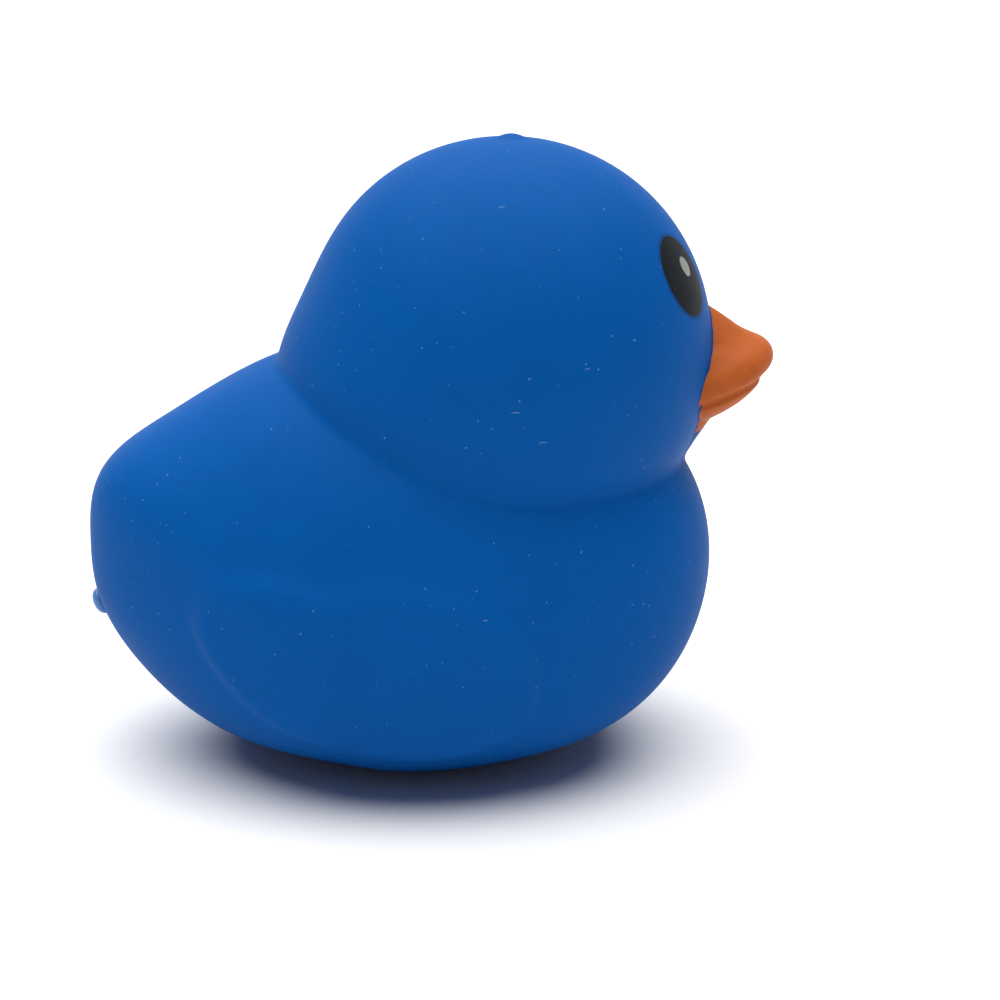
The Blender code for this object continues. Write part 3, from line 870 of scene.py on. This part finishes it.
class DUCK_OT_plug(bpy.types.Operator):
    """Builds the plug that seals the filling hole under the tail tip"""

    bl_idname = "duck.plug"
    bl_label = "Filling plug"

    def execute(self, context):
        duck = Duck(context.scene)
        size = context.scene.duck_print
        turns = [math.pi / 2 * (1 - i / BEAD_STEPS) for i in range(1, BEAD_STEPS)]
        profile = [
            (0.0, size.bead_rise),
            *((size.bead_radius * math.cos(a), size.bead_rise * math.sin(a) ** 0.9) for a in turns),
            (size.bead_radius, -RIM_EDGE),
            (size.bead_radius * RIM_NARROWING, -RIM_UNDER),
            (size.stem_radius, -RIM_SEAT),
            (size.stem_radius, -size.stem_length),
            (0.0, -size.stem_length),
        ]
        shape = bmesh.new()
        verts = [shape.verts.new((r, 0.0, z + size.clearance)) for r, z in profile]
        edges = [shape.edges.new(pair) for pair in zip(verts, verts[1:])]
        bmesh.ops.spin(
            shape,
            geom=verts + edges,
            cent=(0, 0, 0),
            axis=(0, 0, 1),
            angle=2 * math.pi,
            steps=PLUG_SIDES,
            use_merge=True,
        )
        bmesh.ops.remove_doubles(shape, verts=shape.verts, dist=1e-6)
        bmesh.ops.recalc_face_normals(shape, faces=shape.faces)
        point, normal = duck.body.profile_point(size.plug_angle)
        facing = normal.to_track_quat("Z", "Y").to_matrix().to_4x4()
        shape.transform(Matrix.Translation(point) @ facing)
        mesh = bpy.data.meshes.new("fill_plug_bead")
        shape.to_mesh(mesh)
        shape.free()
        mesh.materials.append(plug_material(context.scene.duck_colours))
        mesh.shade_smooth()
        piece = bpy.data.objects.new("fill_plug_bead", mesh)
        context.scene.collection.objects.link(piece)
        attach(piece, "root")
        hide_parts("fill_plug")
        return {"FINISHED"}


def white_for_camera(shader, plain):
    """One where the camera or a mirror-like ray looks, and the plain strength elsewhere."""
    path = shader.node("ShaderNodeLightPath")
    seen = Value(shader, path.outputs["Is Camera Ray"])
    for kind in ("Is Glossy Ray", "Is Transmission Ray"):
        seen = seen.math("MAXIMUM", Value(shader, path.outputs[kind]))
    return seen * (1.0 - plain) + plain


def lay_floor(scene, colours):
    shape = bmesh.new()
    bmesh.ops.create_grid(shape, x_segments=2, y_segments=2, size=4.0)
    mesh = bpy.data.meshes.new("floor")
    shape.to_mesh(mesh)
    shape.free()
    floor = bpy.data.objects.new("floor", mesh)
    scene.collection.objects.link(floor)
    material = new_material("pale_floor", colours.floor)
    shader = Shader(material)
    shader.surface({"Base Color": tuple(colours.floor), "Roughness": 0.9, "Specular IOR Level": 0.1})
    mesh.materials.append(material)


def light_studio(scene):
    """A faint even world, white to the camera, and a very wide lamp overhead."""
    world = bpy.data.worlds.new("studio")
    scene.world = world
    world.use_nodes = True
    shader = Shader(world)
    strength = white_for_camera(shader, AMBIENT)
    sky = shader.node("ShaderNodeBackground", None, {"Color": (1.0, 1.0, 1.0), "Strength": strength})
    shader.node("ShaderNodeOutputWorld", None, {"Surface": sky.outputs[0]})

    lamp = bpy.data.lights.new("overhead_softbox", "SUN")
    lamp.angle = math.radians(SOFTBOX_ANGLE)
    lamp.energy = SOFTBOX_ENERGY
    made = bpy.data.objects.new("overhead_softbox", lamp)
    made.rotation_euler = Vector(SOFTBOX_DIRECTION).to_track_quat("Z", "Y").to_euler()
    scene.collection.objects.link(made)


def place_camera(scene, duck):
    """The camera looks from the duck's right, turned so that its aim lies off the picture's middle."""
    lift, turn = math.radians(CAMERA_LIFT), math.radians(CAMERA_TURN)
    back = Vector((math.sin(turn) * math.cos(lift), -math.cos(turn) * math.cos(lift), math.sin(lift)))
    aim = Vector((duck.body.centre[0] + AIM_FORWARD, 0.0, duck.body.centre[1] + AIM_ABOVE))
    focal = PIXELS_PER_METRE * CAMERA_DISTANCE
    camera = bpy.data.cameras.new("camera")
    camera.sensor_width = SENSOR
    camera.lens = SENSOR * focal / PICTURE
    camera.clip_start = 0.01
    made = bpy.data.objects.new("camera", camera)
    made.location = aim + back * CAMERA_DISTANCE
    facing = back.to_track_quat("Z", "Y")
    yaw = Quaternion((0.0, 1.0, 0.0), -math.atan((PICTURE / 2 - AIM_COLUMN) / focal))
    pitch = Quaternion((1.0, 0.0, 0.0), math.atan((AIM_ROW - PICTURE / 2) / focal))
    made.rotation_euler = (facing @ yaw @ pitch).to_euler()
    scene.collection.objects.link(made)
    scene.camera = made


class DUCK_OT_stage(bpy.types.Operator):
    """Sets the floor, the soft light and the camera"""

    bl_idname = "duck.stage"
    bl_label = "Floor, light and camera"

    def execute(self, context):
        scene = context.scene
        lay_floor(scene, scene.duck_colours)
        light_studio(scene)
        place_camera(scene, Duck(scene))
        scene.view_settings.view_transform = "Standard"
        return {"FINISHED"}


class DUCK_PT_panel(bpy.types.Panel):
    """Lists what builds the duck"""

    bl_idname = "DUCK_PT_panel"
    bl_label = "Squishy duck"
    bl_space_type = "VIEW_3D"
    bl_region_type = "UI"
    bl_category = "Duck"

    def draw(self, context):
        for operator in OPERATORS:
            self.layout.operator(operator.bl_idname)
        for group in GROUPS:
            box = self.layout.box()
            box.label(text=group.replace("_", " "))
            owner = getattr(context.scene, group)
            for name in owner.bl_rna.properties.keys():
                if name not in ("rna_type", "name"):
                    box.prop(owner, name)


OPERATORS = (DUCK_OT_skin, DUCK_OT_plug, DUCK_OT_stage)
GROUPS = {
    "duck_body": DuckBodySizes,
    "duck_bill": DuckBillSizes,
    "duck_print": DuckPrintSizes,
    "duck_colours": DuckColours,
}
CLASSES = (*GROUPS.values(), *OPERATORS, DUCK_PT_panel)


def register():
    for one in CLASSES:
        bpy.utils.register_class(one)
    for name, group in GROUPS.items():
        setattr(bpy.types.Scene, name, bpy.props.PointerProperty(type=group))


def unregister():
    for name in GROUPS:
        delattr(bpy.types.Scene, name)
    for one in reversed(CLASSES):
        bpy.utils.unregister_class(one)


def main():
    register()
    bpy.ops.duck.skin()
    bpy.ops.duck.plug()
    bpy.ops.duck.stage()


if __name__ == "__main__":
    main()
